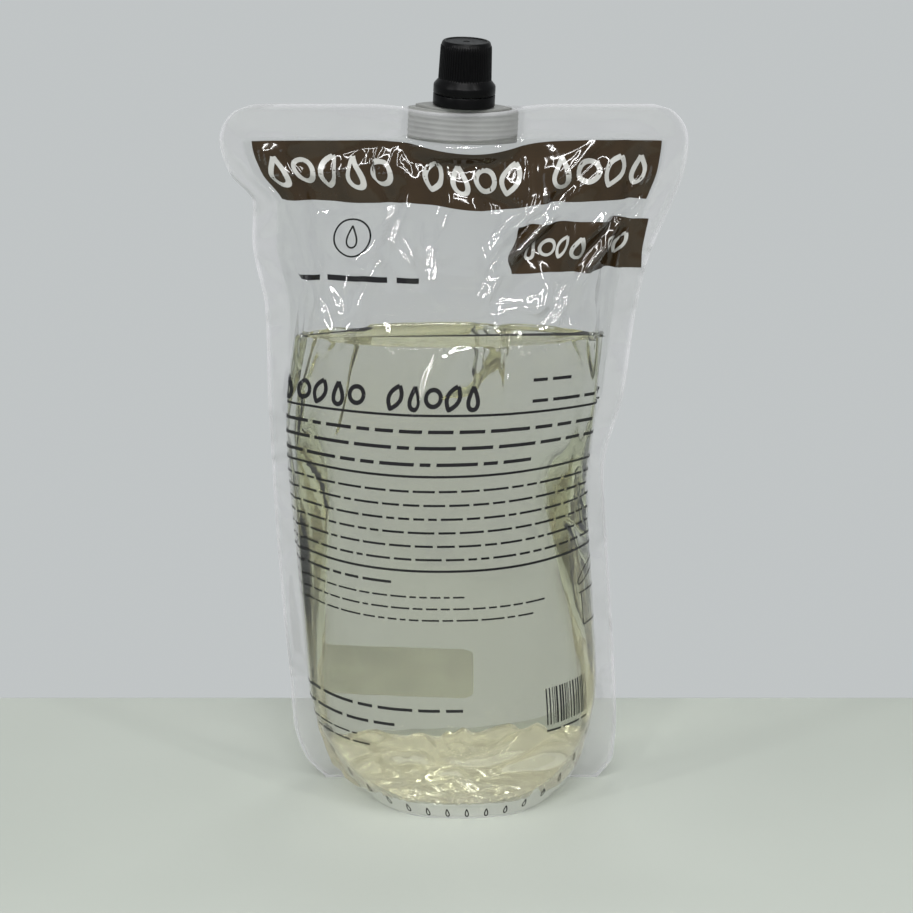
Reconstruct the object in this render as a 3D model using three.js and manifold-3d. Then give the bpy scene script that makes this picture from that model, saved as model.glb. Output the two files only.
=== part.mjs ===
// A one-litre stand-up refill pouch of clear film, filled with liquid hand soap. A spout is welded
// into the middle of the top seal, and a screw cap with a tamper-evident band closes it.
// Millimetres, +Z up. The origin is on the surface the pouch stands on, under its middle.
// The front panel faces -Y, and +X is to the right of somebody who looks at the front.
import * as THREE from "three";
import { mergeVertices } from "three/addons/utils/BufferGeometryUtils.js";
import Module from "manifold-3d";

const wasm = await Module();
wasm.setup();

// ---- Driving dimensions of the pouch ----
const HALF_WIDTH = 85.5; // the film is 171 wide where the top seal holds it flat
const FILM_TOP = 267; // height of the top edge of the film
const FILM = 0.2; // thickness of each web of film
const WELD_GAP = 0.3; // space kept between two webs, or a web and what it touches
const SIDE_SEAL = 8; // width of each side seal
const TOP_SEAL = 13; // height of the top seal
const TOP_CORNER = 13; // radius of the two top corners
const GUSSET_FOLD = 43; // height at which the bottom gusset's fold meets the side seals
const SKIRT = 6; // height of the bottom seal in the middle, which the pouch stands on
const SOAP_LEVEL = 183; // height of the surface of the soap
const SOAP_INSET = 0.55; // space between the soap and the panels
const SOAP_POCKET_INSET = 2.9; // the same below the gusset's fold, where a second web lies between

// ---- Driving dimensions of the closure, as heights above the foot of the spout ----
const SPOUT_FOOT = new THREE.Vector3(3, 0, 253.5);
const SPOUT_LEAN = THREE.MathUtils.degToRad(2.5); // it leans to the right in the soft seal
const BOAT = { halfLength: 20, halfDepth: 7.6, height: 12 };
const BOAT_RIB = { count: 4, step: 2.6, height: 1, proud: 0.35 };
const PLATE = { halfLength: 17.5, halfDepth: 8.2, height: 1 };
const BORE_RADIUS = 5.6;
const NECK = { radius: 7.5, collarRadius: 8.6, beadRadius: 9.7, top: 34.3 };
const BAND = { bottom: 13.4, top: 17.4, radius: 11.3, innerRadius: 10.1, lipRadius: 9.1 };
const CAP = { bottom: 17.8, top: 36.7, skirtRadius: 11.3 };
const GRIP = { foot: 23, footRadius: 9.55, topRadius: 9.1 };
const CAP_RIBS = 32;
const CAP_RIB_DEPTH = 0.28;
const ROUND_SEGMENTS = 36;

// The label reaches across a share of the half width inside the side seals, from left to right.
const LABEL = { low: 27, high: 48, from: -0.62, to: 0.13, rounding: 0.03 };

// ---- Outline of the pouch: [height, distance from the middle] of each edge ----
const LEFT_EDGE = [
  [0, 50], [9, 58], [24, 62.5], [45, 63.6], [100, 67.5], [145, 69.3], [190, 70],
  [216, 74.5], [230, 74], [242, 82.5], [254, HALF_WIDTH], [FILM_TOP, HALF_WIDTH],
];
const RIGHT_EDGE = [
  [0, 56], [9, 62], [24, 63], [45, 62], [90, 59], [128, 56.5], [155, 63],
  [190, 68], [210, 72], [228, 79], [244, 84.5], [254, HALF_WIDTH], [FILM_TOP, HALF_WIDTH],
];
// [height, how far the middle of each panel stands out from the plane of the side seals]
const BULGE = [
  [0, 38], [20, 40.5], [50, 41.6], [80, 40.8], [110, 37.4], [140, 30.5], [165, 22.5],
  [183, 17], [205, 12.5], [225, 9.5], [240, 6.5], [FILM_TOP - TOP_SEAL, 0], [FILM_TOP, 0],
];
// [height, share of the width inside the seals that the filled part takes]
const FILLED_SHARE = [[0, 0.86], [14, 0.93], [GUSSET_FOLD, 1], [FILM_TOP, 1]];

// ---- Grid ----
const COLUMNS = 24; // across the filled part of a panel
const BASE_ROWS = 9; // up a panel, below the gusset's fold
const UPPER_ROWS = 17; // up a panel, from the fold to the round top corners

const finish = (color, roughness, opacity = 1) =>
  new THREE.MeshStandardMaterial({ color, roughness, metalness: 0, opacity, transparent: opacity < 1 });
const CLEAR_FILM = finish(0xe9ebea, 0.12, 0.3);
const SOAP_LIQUID = finish(0xdcdcc4, 0.05, 0.6);
const NATURAL_PLASTIC = finish(0xc9cbc6, 0.4);
const BLACK_PLASTIC = finish(0x0b0b0d, 0.38);
const LABEL_FILM = finish(0xb0ab97, 0.5);

// A smooth curve through [height, value] pairs that never overshoots them (monotone cubic).
function curveThrough(pairs) {
  const slopes = pairs.slice(1).map(([h, v], i) => (v - pairs[i][1]) / (h - pairs[i][0]));
  const tangents = pairs.map((_, i) => {
    const before = slopes[i - 1];
    const after = slopes[i];
    if (before === undefined || after === undefined) return before ?? after;
    return before * after <= 0 ? 0 : (2 * before * after) / (before + after);
  });
  return (height) => {
    const last = pairs.length - 2;
    const k = Math.min(last, Math.max(0, pairs.findIndex(([h]) => height < h) - 1));
    const i = height >= pairs[last + 1][0] ? last : k;
    const span = pairs[i + 1][0] - pairs[i][0];
    const s = THREE.MathUtils.clamp((height - pairs[i][0]) / span, 0, 1);
    return (
      (2 * s ** 3 - 3 * s ** 2 + 1) * pairs[i][1] +
      (s ** 3 - 2 * s ** 2 + s) * span * tangents[i] +
      (3 * s ** 2 - 2 * s ** 3) * pairs[i + 1][1] +
      (s ** 3 - s ** 2) * span * tangents[i + 1]
    );
  };
}

const leftEdge = curveThrough(LEFT_EDGE);
const rightEdge = curveThrough(RIGHT_EDGE);
const bulge = curveThrough(BULGE);
const filledShare = curveThrough(FILLED_SHARE);
const { smoothstep, lerp } = THREE.MathUtils;

// How much narrower the film is at this height because its top corners are round.
function cornerCut(height) {
  const above = height - (FILM_TOP - TOP_CORNER);
  return above <= 0 ? 0 : TOP_CORNER - Math.sqrt(Math.max(0, TOP_CORNER ** 2 - above ** 2));
}

// Where the filled part ends at this height, as x of its left and right side.
function filledSpan(height) {
  const left = leftEdge(height) - cornerCut(height) - SIDE_SEAL;
  const right = rightEdge(height) - cornerCut(height) - SIDE_SEAL;
  return [-left * filledShare(height), right * filledShare(height)];
}

// Half the thickness of the welded foot of the spout at this x.
function boatHalfDepth(x, halfLength, halfDepth) {
  const along = Math.min(1, Math.abs(x) / halfLength);
  return halfDepth * (1 - along ** 2) ** 0.9;
}

// The inner face of a panel: across runs from -1 to 1 between the side seals, and the depth is
// measured from the plane of the side seals. The cross-section is squarer at the base.
function panelPoint(across, height, inset = 0) {
  const [left, right] = filledSpan(height);
  const s = (across + Math.sin((across * Math.PI) / 2)) / 2; // closer columns at the sides
  const squareness = lerp(2.7, 2, smoothstep(height, 0, 150));
  const x = (left + right) / 2 + ((right - left) / 2 - inset) * s;
  const lens = (1 - Math.abs(s) ** squareness) ** (1.6 / squareness);
  const aroundSpout = smoothstep(height, FILM_TOP - TOP_SEAL - 16, FILM_TOP - TOP_SEAL - 1);
  const spoutX = x - SPOUT_FOOT.x - (height - SPOUT_FOOT.z) * Math.tan(SPOUT_LEAN);
  const boat = boatHalfDepth(spoutX, BOAT.halfLength + 2.5, BOAT.halfDepth + BOAT_RIB.proud + 2 * WELD_GAP);
  const depth = Math.max((bulge(height) - inset) * lens, boat * aroundSpout);
  return new THREE.Vector2(x, Math.max(depth, WELD_GAP / 2));
}

// The top edge dips a little where the film is welded to the spout.
function edgeDip(x, height) {
  const near = Math.exp(-(((x - SPOUT_FOOT.x) / 24) ** 4));
  return 1.9 * near * smoothstep(height, FILM_TOP - 30, FILM_TOP);
}

// A closed sheet of even thickness on a grid of points, thickened on one side: that of the cross
// product of the direction along its rows and the direction from row to row.
function sheetGeometry(grid, thickness) {
  const rows = grid.length;
  const columns = grid[0].length;
  const at = (j, i) => grid[Math.min(rows - 1, Math.max(0, j))][Math.min(columns - 1, Math.max(0, i))];
  const outer = grid.map((row, j) =>
    row.map((point, i) => {
      const along = new THREE.Vector3().subVectors(at(j, i + 1), at(j, i - 1));
      const up = new THREE.Vector3().subVectors(at(j + 1, i), at(j - 1, i));
      const moved = point.clone().addScaledVector(along.cross(up).normalize(), thickness);
      return moved.setZ(Math.max(0, moved.z)); // nothing goes below the floor
    }),
  );
  const positions = [...grid.flat(), ...outer.flat()].flatMap((p) => [p.x, p.y, p.z]);
  const inner = (j, i) => j * columns + i;
  const back = (j, i) => rows * columns + j * columns + i;
  const faces = [];
  const quad = (a, b, c, d) => faces.push(a, b, c, a, c, d);
  for (let j = 0; j < rows - 1; j += 1) {
    for (let i = 0; i < columns - 1; i += 1) {
      quad(inner(j, i), inner(j + 1, i), inner(j + 1, i + 1), inner(j, i + 1));
      quad(back(j, i), back(j, i + 1), back(j + 1, i + 1), back(j + 1, i));
    }
    quad(inner(j, 0), back(j, 0), back(j + 1, 0), inner(j + 1, 0));
    quad(inner(j, columns - 1), inner(j + 1, columns - 1), back(j + 1, columns - 1), back(j, columns - 1));
  }
  for (let i = 0; i < columns - 1; i += 1) {
    quad(inner(0, i), inner(0, i + 1), back(0, i + 1), back(0, i));
    quad(inner(rows - 1, i), back(rows - 1, i), back(rows - 1, i + 1), inner(rows - 1, i + 1));
  }
  return closedGeometry(positions, faces);
}

function closedGeometry(positions, faces) {
  const geometry = new THREE.BufferGeometry();
  geometry.setAttribute("position", new THREE.Float32BufferAttribute(positions, 3));
  geometry.setIndex(faces);
  geometry.computeVertexNormals();
  return geometry;
}

const evenly = (from, to, steps) => Array.from({ length: steps + 1 }, (_, k) => lerp(from, to, k / steps));

// Heights of the rows of a panel, closer together at the base and round the top corners.
const PANEL_HEIGHTS = [
  ...evenly(0, GUSSET_FOLD, BASE_ROWS),
  ...evenly(GUSSET_FOLD, FILM_TOP - TOP_CORNER, UPPER_ROWS).slice(1),
  ...[0.45, 0.75, 0.92, 1].map((share) => FILM_TOP - TOP_CORNER + TOP_CORNER * share),
];

// One web of the pouch, front (side -1) or back (side 1), with its two side seals.
function panelGeometry(side) {
  const acrosses = evenly(-1, 1, COLUMNS);
  const grid = PANEL_HEIGHTS.map((height) => {
    const left = -leftEdge(height) + cornerCut(height);
    const right = rightEdge(height) - cornerCut(height);
    const middle = acrosses.map((across) => panelPoint(across, height));
    const seal = WELD_GAP / 2;
    const row = [
      new THREE.Vector2(left, seal),
      new THREE.Vector2((left + middle[0].x) / 2, seal),
      ...middle,
      new THREE.Vector2((right + middle.at(-1).x) / 2, seal),
      new THREE.Vector2(right, seal),
    ];
    return row.map(({ x, y }) => new THREE.Vector3(x, side * y, height - edgeDip(x, height)));
  });
  if (side > 0) grid.forEach((row) => row.reverse());
  return sheetGeometry(grid, FILM);
}

// Height of the curved bottom seal, from the skirt in the middle up to the fold at each side.
const bottomSeal = (across) => SKIRT + (GUSSET_FOLD - SKIRT) * Math.abs(across) ** 3;

// The bottom web: its two edges are welded inside the skirt, and between them it lies on the floor.
function gussetGeometry() {
  const flange = WELD_GAP + FILM; // the welded strip, inside the panel
  const pocket = flange + FILM + 2 * WELD_GAP; // the free part, inside the welded strip
  const wall = (across, height, inset, side) => {
    const { x, y } = panelPoint(across, height, inset);
    return new THREE.Vector3(x, side * y, height);
  };
  const half = (across, side) => {
    const seal = bottomSeal(across);
    return [
      ...[0, 0.5, 1].map((share) => wall(across, seal * share, flange, side)),
      wall(across, seal + 0.4, (flange + pocket) / 2, side),
      ...[1, 0.7, 0.4, 0.15].map((share) => wall(across, seal * share, pocket, side)),
      wall(across, 0.25, pocket + 0.35, side),
      wall(across, 0, pocket + 1.2, side),
    ];
  };
  const grid = evenly(-1, 1, COLUMNS).slice(1, -1).map((across) => {
    const front = half(across, -1);
    const back = half(across, 1).reverse();
    const floor = evenly(front.at(-1).y, back[0].y, 6).slice(1, -1);
    return [...front, ...floor.map((y) => new THREE.Vector3(front.at(-1).x, y, 0)), ...back];
  });
  return sheetGeometry(grid.reverse(), FILM);
}

// The soap fills the pouch up to its level, as a loft of closed level sections.
function soapGeometry() {
  const inFold = (height) => smoothstep(height, GUSSET_FOLD, GUSSET_FOLD + 12);
  const inset = (height) => lerp(SOAP_POCKET_INSET, SOAP_INSET, inFold(height));
  const foot = FILM + 2 * WELD_GAP;
  const heights = [foot, 2.5, ...PANEL_HEIGHTS.filter((h) => h > 4 && h < SOAP_LEVEL - 3), SOAP_LEVEL];
  const acrosses = evenly(-1, 1, COLUMNS);
  const positions = heights.flatMap((height) => {
    const section = acrosses.map((across) => panelPoint(across, height, inset(height)));
    const shrink = height === foot ? 0.985 : 1; // the lowest edge is slightly rounded
    const front = section.map(({ x, y }) => [x * shrink, -y * shrink, height]);
    const back = section.slice(1, -1).reverse().map(({ x, y }) => [x * shrink, y * shrink, height]);
    return [...front, ...back].flat();
  });
  const around = 2 * COLUMNS;
  const faces = [];
  for (let j = 0; j < heights.length - 1; j += 1) {
    for (let k = 0; k < around; k += 1) {
      const a = j * around + k;
      const b = j * around + ((k + 1) % around);
      faces.push(a, b, b + around, a, b + around, a + around);
    }
  }
  // Each end is closed by strips from the front of the section to its back.
  const closeEnd = (first, up) => {
    const add = (a, b, c) => faces.push(...(up ? [a, b, c] : [a, c, b]).map((v) => first + v));
    add(0, 1, around - 1);
    for (let k = 1; k < COLUMNS - 1; k += 1) {
      add(k, k + 1, around - k);
      add(k + 1, around - k - 1, around - k);
    }
    add(COLUMNS - 1, COLUMNS, COLUMNS + 1);
  };
  closeEnd(0, false);
  closeEnd((heights.length - 1) * around, true);
  return closedGeometry(positions, faces);
}

// ---- Solids that are joined and cut ----
function solidOf(geometry) {
  const bare = geometry.clone();
  bare.deleteAttribute("normal");
  bare.deleteAttribute("uv");
  const merged = mergeVertices(bare, 1e-4);
  const vertProperties = merged.attributes.position.array;
  const triVerts = new Uint32Array(merged.index.array);
  return new wasm.Manifold(new wasm.Mesh({ numProp: 3, vertProperties, triVerts }));
}

function geometryOf(solid) {
  const { vertProperties, triVerts } = solid.getMesh();
  return closedGeometry(vertProperties, Array.from(triVerts));
}

// A round solid from [radius, height] points that run counter-clockwise round the section.
function turned(profile, segments = ROUND_SEGMENTS) {
  const points = [...profile, profile[0]].map(([radius, height]) => new THREE.Vector2(radius, height));
  return new THREE.LatheGeometry(points, segments).rotateX(Math.PI / 2);
}

// A slab with the pointed oval outline of the spout's welded foot.
function boatSlab(halfLength, halfDepth, from, to) {
  const steps = evenly(-1, 1, 16).map((t) => Math.sin((t * Math.PI) / 2) * halfLength);
  const depthAt = (x) => boatHalfDepth(x, halfLength, halfDepth);
  const near = steps.map((x) => new THREE.Vector2(x, -depthAt(x)));
  const far = steps.slice(1, -1).reverse().map((x) => new THREE.Vector2(x, depthAt(x)));
  const outline = new THREE.Shape([...near, ...far]);
  const slab = new THREE.ExtrudeGeometry(outline, { depth: to - from, bevelEnabled: false });
  return solidOf(slab.translate(0, 0, from));
}

// The spout: a ribbed boat-shaped foot that the film is welded to, a plate over it, and the neck.
function spoutGeometry() {
  let solid = boatSlab(BOAT.halfLength, BOAT.halfDepth, 0, BOAT.height + 0.1);
  const { count, step, height, proud } = BOAT_RIB;
  for (let k = 0; k < count; k += 1) {
    const foot = 1.2 + k * step;
    solid = solid.add(boatSlab(BOAT.halfLength + proud, BOAT.halfDepth + proud, foot, foot + height));
  }
  const plateTop = BOAT.height + PLATE.height;
  solid = solid.add(boatSlab(PLATE.halfLength, PLATE.halfDepth, BOAT.height, plateTop));
  const neck = turned([
    [0, 1], [NECK.radius, 1], [NECK.radius, plateTop - 0.5], [NECK.collarRadius, plateTop],
    [NECK.collarRadius, 15.2], [NECK.beadRadius, 15.5], [NECK.beadRadius, 16.3],
    [NECK.collarRadius, 17.2], [NECK.radius, 17.8],
    [NECK.radius, NECK.top - 0.5], [NECK.radius - 0.5, NECK.top], [0, NECK.top],
  ]);
  const bore = turned([[0, -1], [BORE_RADIUS, -1], [BORE_RADIUS, NECK.top + 1], [0, NECK.top + 1]]);
  return geometryOf(solid.add(solidOf(neck)).subtract(solidOf(bore)));
}

// The tamper-evident band: its inner lip sits under the neck's bead, which keeps it on.
function bandGeometry() {
  const { bottom, top, radius, innerRadius, lipRadius } = BAND;
  return turned([
    [lipRadius + 0.2, bottom], [radius - 0.2, bottom], [radius, bottom + 0.3], [radius, top - 0.15],
    [radius - 0.15, top], [innerRadius, top], [innerRadius, bottom + 1.9], [lipRadius, bottom + 1.4],
  ]);
}

// The cap: a wide skirt over the bead, a cone up to a ribbed grip, and inside it a plug for the bore.
function capGeometry() {
  const { bottom, top, skirtRadius } = CAP;
  const ceiling = top - 1.6;
  const plugFoot = ceiling - 3;
  const profile = [
    [10.1, bottom], [skirtRadius - 0.15, bottom], [skirtRadius, bottom + 0.15], [skirtRadius, bottom + 3],
    [GRIP.footRadius, GRIP.foot], [GRIP.footRadius, GRIP.foot + 0.3],
    [GRIP.topRadius, top - 1.7], [GRIP.topRadius, top - 1.3], [GRIP.topRadius - 0.4, top - 0.4],
    [GRIP.topRadius - 1, top], [GRIP.topRadius - 1.6, top], [GRIP.topRadius - 1.8, top - 0.3], [0, top - 0.3],
    [0, ceiling], [4.2, ceiling], [4.3, plugFoot], [5, plugFoot], [5.25, plugFoot + 0.6], [5.25, ceiling],
    [8.6, ceiling], [8.6, GRIP.foot - 0.8], [10.1, bottom + 3.2],
  ];
  const geometry = turned(profile, 2 * CAP_RIBS);
  const positions = geometry.getAttribute("position");
  const onGrip = (radius, height) => height > GRIP.foot + 0.2 && height < top - 1.5 && radius > 9;
  for (let k = 0; k < positions.count; k += 1) {
    const point = new THREE.Vector3().fromBufferAttribute(positions, k);
    const radius = Math.hypot(point.x, point.y);
    if (onGrip(radius, point.z)) {
      const turn = Math.atan2(point.y, point.x);
      const grown = 1 + ((Math.cos(CAP_RIBS * turn) > 0 ? 1 : -1) * CAP_RIB_DEPTH) / 2 / radius;
      positions.setXY(k, point.x * grown, point.y * grown);
    }
  }
  return geometry;
}

// A small batch label with rounded ends, stuck low on the back panel.
function labelGeometry() {
  const { low, high, from, to, rounding } = LABEL;
  const grid = evenly(0, 1, 6).map((up) => {
    const height = lerp(low, high, up);
    const inset = rounding * (1 - Math.sqrt(1 - (2 * Math.abs(up - 0.5)) ** 8));
    return evenly(to - inset, from + inset, 12).map((across) => {
      const { x, y } = panelPoint(across, height);
      return new THREE.Vector3(x, y + FILM + WELD_GAP, height);
    });
  });
  return sheetGeometry(grid, 0.15);
}

function named(name, geometry, material) {
  const mesh = new THREE.Mesh(geometry, material);
  mesh.name = name;
  return mesh;
}

const closure = new THREE.Group();
closure.position.copy(SPOUT_FOOT);
closure.rotation.y = SPOUT_LEAN;
closure.add(
  named("spout", spoutGeometry(), NATURAL_PLASTIC),
  named("tamper_band", bandGeometry(), BLACK_PLASTIC),
  named("cap", capGeometry(), BLACK_PLASTIC),
);

const pack = new THREE.Group();
pack.add(
  named("front_film", panelGeometry(-1), CLEAR_FILM),
  named("back_film", panelGeometry(1), CLEAR_FILM),
  named("gusset_film", gussetGeometry(), CLEAR_FILM),
  named("soap", soapGeometry(), SOAP_LIQUID),
  named("batch_label", labelGeometry(), LABEL_FILM),
  closure,
);

// The label stands out at the back, so the pack moves forward to keep its middle at the origin.
pack.position.y = -new THREE.Box3().setFromObject(pack).getCenter(new THREE.Vector3()).y;

export default pack;
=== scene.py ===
"""Looks of a one-litre soap refill pouch: clear film, soap, spout, cap, print and label."""

import math

import bmesh
import bpy
import numpy as np
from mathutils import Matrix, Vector


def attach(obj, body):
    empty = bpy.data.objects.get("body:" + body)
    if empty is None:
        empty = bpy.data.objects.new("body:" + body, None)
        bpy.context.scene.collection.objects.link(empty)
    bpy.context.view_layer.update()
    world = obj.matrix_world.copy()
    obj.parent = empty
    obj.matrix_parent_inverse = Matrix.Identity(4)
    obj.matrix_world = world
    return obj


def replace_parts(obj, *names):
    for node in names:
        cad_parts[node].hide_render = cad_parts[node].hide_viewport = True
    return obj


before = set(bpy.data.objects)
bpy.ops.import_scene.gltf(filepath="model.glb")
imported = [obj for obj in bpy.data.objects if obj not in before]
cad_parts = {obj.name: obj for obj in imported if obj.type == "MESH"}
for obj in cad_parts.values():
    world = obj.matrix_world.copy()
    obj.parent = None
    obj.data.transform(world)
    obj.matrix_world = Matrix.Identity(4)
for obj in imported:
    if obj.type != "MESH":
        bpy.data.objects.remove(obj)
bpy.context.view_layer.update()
scene = bpy.context.scene

# ---- Driving dimensions, in millimetres: the CAD model's, but for the soap's level ----
MM = 0.001
HALF_WIDTH = 85.5  # half the flat width of the film
FILM_TOP = 267.0  # height of the top edge
FLAT_TOP = 272.0  # the same, along the film
SIDE_SEAL = 8.0
TOP_SEAL = 13.0
INNER = HALF_WIDTH - SIDE_SEAL  # where the side seals begin, along the film
TOP_CORNER = 13.0
GUSSET_FOLD = 43.0
SKIRT = 6.0  # height of the bottom seal in the middle
SOAP_LEVEL = 180.0  # 3 mm under the plain CAD soap's surface
SEAL_HALF = 0.15  # half the thickness of two welded webs
WEB_OUT = 0.12  # how far a web is drawn outside the surface between film and soap
SPOUT_FOOT = (3.0, 253.5)  # x and height
SPOUT_LEAN = math.radians(2.5)
BOAT_HALF = 20.0  # half the length and half the depth of the spout's boat-shaped foot
BOAT_DEPTH = 7.95
BORE = 5.6
NECK = 7.5
PACK_Y = -0.238  # the CAD model's shift that keeps its box centred

# The outline's distance to the left and to the right of the middle: (height, distance).
LEFT_EDGE = [
    (0, 50), (9, 58), (24, 62.5), (45, 63.6), (100, 67.5), (145, 69.3), (190, 70),
    (216, 74.5), (230, 74), (242, 82.5), (254, HALF_WIDTH), (FILM_TOP, HALF_WIDTH),
]
RIGHT_EDGE = [
    (0, 56), (9, 62), (24, 63), (45, 62), (90, 59), (128, 56.5), (155, 63), (190, 68),
    (210, 72), (228, 79), (244, 84.5), (254, HALF_WIDTH), (FILM_TOP, HALF_WIDTH),
]
# Depth of each panel in its middle, and how much of its width is filled: (height, value).
BULGE = [
    (0, 38), (20, 40.5), (50, 41.6), (80, 40.8), (110, 37.4), (140, 30.5), (165, 22.5),
    (183, 17), (205, 12.5), (225, 9.5), (240, 6.5), (254, 0.3), (FILM_TOP, 0.3),
]
FILLED_SHARE = [(0, 0.86), (14, 0.93), (GUSSET_FOLD, 1), (FILM_TOP, 1)]
# How much longer the film is than the plain shape it lies in: the excess becomes wrinkles.
SLACK = [
    (0, 1.004), (60, 1.004), (105, 1.012), (135, 1.05), (165, 1.085), (200, 1.10),
    (228, 1.09), (246, 1.03), (254, 1.004), (FILM_TOP, 1),
]


def curve_through(pairs):
    """A smooth curve through (height, value) pairs that never overshoots them."""
    knots = np.array(pairs, float)
    x, y = knots[:, 0], knots[:, 1]
    slope = np.diff(y) / np.diff(x)
    tangent = np.zeros(len(x))
    tangent[0], tangent[-1] = slope[0], slope[-1]
    for i in range(1, len(x) - 1):
        before, after = slope[i - 1], slope[i]
        if before * after > 0:
            tangent[i] = 2 * before * after / (before + after)

    def at(height):
        q = np.clip(np.asarray(height, float), x[0], x[-1])
        i = np.clip(np.searchsorted(x, q, side="right") - 1, 0, len(x) - 2)
        w = x[i + 1] - x[i]
        s = (q - x[i]) / w
        ends = (2 * s**3 - 3 * s**2 + 1) * y[i] + (3 * s**2 - 2 * s**3) * y[i + 1]
        return ends + (s**3 - 2 * s**2 + s) * w * tangent[i] + (s**3 - s**2) * w * tangent[i + 1]

    return at


left_edge, right_edge = curve_through(LEFT_EDGE), curve_through(RIGHT_EDGE)
bulge, filled_share, slack = curve_through(BULGE), curve_through(FILLED_SHARE), curve_through(SLACK)


def smooth(x, low, high):
    """0 below low, 1 above high, and an even ramp between them."""
    t = np.clip((np.asarray(x, float) - low) / (high - low), 0, 1)
    return t * t * (3 - 2 * t)


def corner_cut(height):
    """How much the round top corners take off the width."""
    above = np.clip(np.asarray(height, float) - (FILM_TOP - TOP_CORNER), 0, TOP_CORNER)
    return TOP_CORNER - np.sqrt(TOP_CORNER**2 - above**2)


def boat_half_depth(x, half_length, half_depth):
    """Half the depth of the spout's foot, which is pointed at both ends."""
    along = np.clip(np.abs(x) / half_length, 0, 1)
    return half_depth * (1 - along**2) ** 0.9


def spout_x(height):
    """x of the spout's axis at a height."""
    return SPOUT_FOOT[0] + (height - SPOUT_FOOT[1]) * math.tan(SPOUT_LEAN)


def panel_section(across, height):
    """x and depth of the plain shape of a panel, for across from -1 to 1."""
    cut = corner_cut(height)
    low = -(left_edge(height) - cut - SIDE_SEAL) * filled_share(height)
    high = (right_edge(height) - cut - SIDE_SEAL) * filled_share(height)
    s = (across + np.sin(across * math.pi / 2)) / 2
    squareness = 2.7 - 0.7 * smooth(height, 0, 150)
    x = (low + high) / 2 + (high - low) / 2 * s
    lens = (1 - np.abs(s) ** squareness) ** (1.6 / squareness)
    around = smooth(height, FILM_TOP - TOP_SEAL - 16, FILM_TOP - TOP_SEAL - 1)
    boat = boat_half_depth(x - spout_x(height), BOAT_HALF + 2.5, BOAT_DEPTH + 0.6) * around
    return x, np.maximum(np.maximum(bulge(height) * lens, boat), SEAL_HALF)


def plain_film(columns, rows):
    """Both webs as a grid [side, row, column] on the plain shape, and the grid's flat u and v."""
    u = np.linspace(-HALF_WIDTH, HALF_WIDTH, columns + 1)
    v = np.linspace(0, FLAT_TOP, rows + 1)
    grid = np.zeros((2, rows + 1, columns + 1, 3))
    across = np.linspace(-1, 1, 241)
    low, high = u < -INNER, u > INNER
    for j, height in enumerate(v * FILM_TOP / FLAT_TOP):
        x, depth = panel_section(across, height)
        along = np.concatenate([[0], np.cumsum(np.hypot(np.diff(x), np.diff(depth)))])
        share = np.clip((u + INNER) / (2 * INNER), 0, 1) * along[-1]
        px, py = np.interp(share, along, x), np.interp(share, along, depth)
        left = -float(left_edge(height) - corner_cut(height))
        right = float(right_edge(height) - corner_cut(height))
        px[low] = left + (u[low] + HALF_WIDTH) / SIDE_SEAL * (x[0] - left)
        px[high] = x[-1] + (u[high] - INNER) / SIDE_SEAL * (right - x[-1])
        py[low | high] = SEAL_HALF
        # The spout draws the top edge down.
        dip = 1.9 * np.exp(-(((px - SPOUT_FOOT[0]) / 24) ** 4)) * smooth(height, 237, FILM_TOP)
        grid[:, j, :, 0] = px
        grid[0, j, :, 1], grid[1, j, :, 1] = -py, py
        grid[:, j, :, 2] = height - dip
    return u, v, grid


def seal_height(u):
    """Height, along the film, of the curved bottom seal."""
    return SKIRT + (GUSSET_FOLD - SKIRT) * np.clip(np.abs(u) / INNER, 0, 1) ** 3


def smooth_noise(shape, seed, cells):
    """Random values on a coarse grid, spread over a grid [side, row, column]."""
    coarse = np.random.default_rng(seed).normal(size=(2, *cells))
    rows = np.linspace(0, cells[0] - 1, shape[1])
    columns = np.linspace(0, cells[1] - 1, shape[2])
    out = np.zeros(shape[:3])
    for side in range(2):
        wide = np.array([np.interp(columns, np.arange(cells[1]), line) for line in coarse[side]])
        out[side] = np.array([np.interp(rows, np.arange(cells[0]), line) for line in wide.T]).T
    return out


def refined(grid):
    """The same surface with twice the rows and columns, by a smooth four-point rule."""
    for _ in ("rows", "columns"):
        finer = np.zeros((2, 2 * grid.shape[1] - 1, grid.shape[2], 3))
        finer[:, ::2] = grid
        finer[:, 1::2] = (grid[:, 1:] + grid[:, :-1]) / 2
        finer[:, 3:-3:2] = (9 * (grid[:, 1:-2] + grid[:, 2:-1]) - grid[:, :-3] - grid[:, 3:]) / 16
        grid = finer.transpose(0, 2, 1, 3)
    return np.ascontiguousarray(grid)


def laplacian(grid):
    """How far each point stands from the middle of its neighbours."""
    out = np.zeros_like(grid)
    out[:, 1:-1] += (grid[:, 2:] + grid[:, :-2] - 2 * grid[:, 1:-1]) / 4
    out[:, :, 1:-1] += (grid[:, :, 2:] + grid[:, :, :-2] - 2 * grid[:, :, 1:-1]) / 4
    return out


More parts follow.
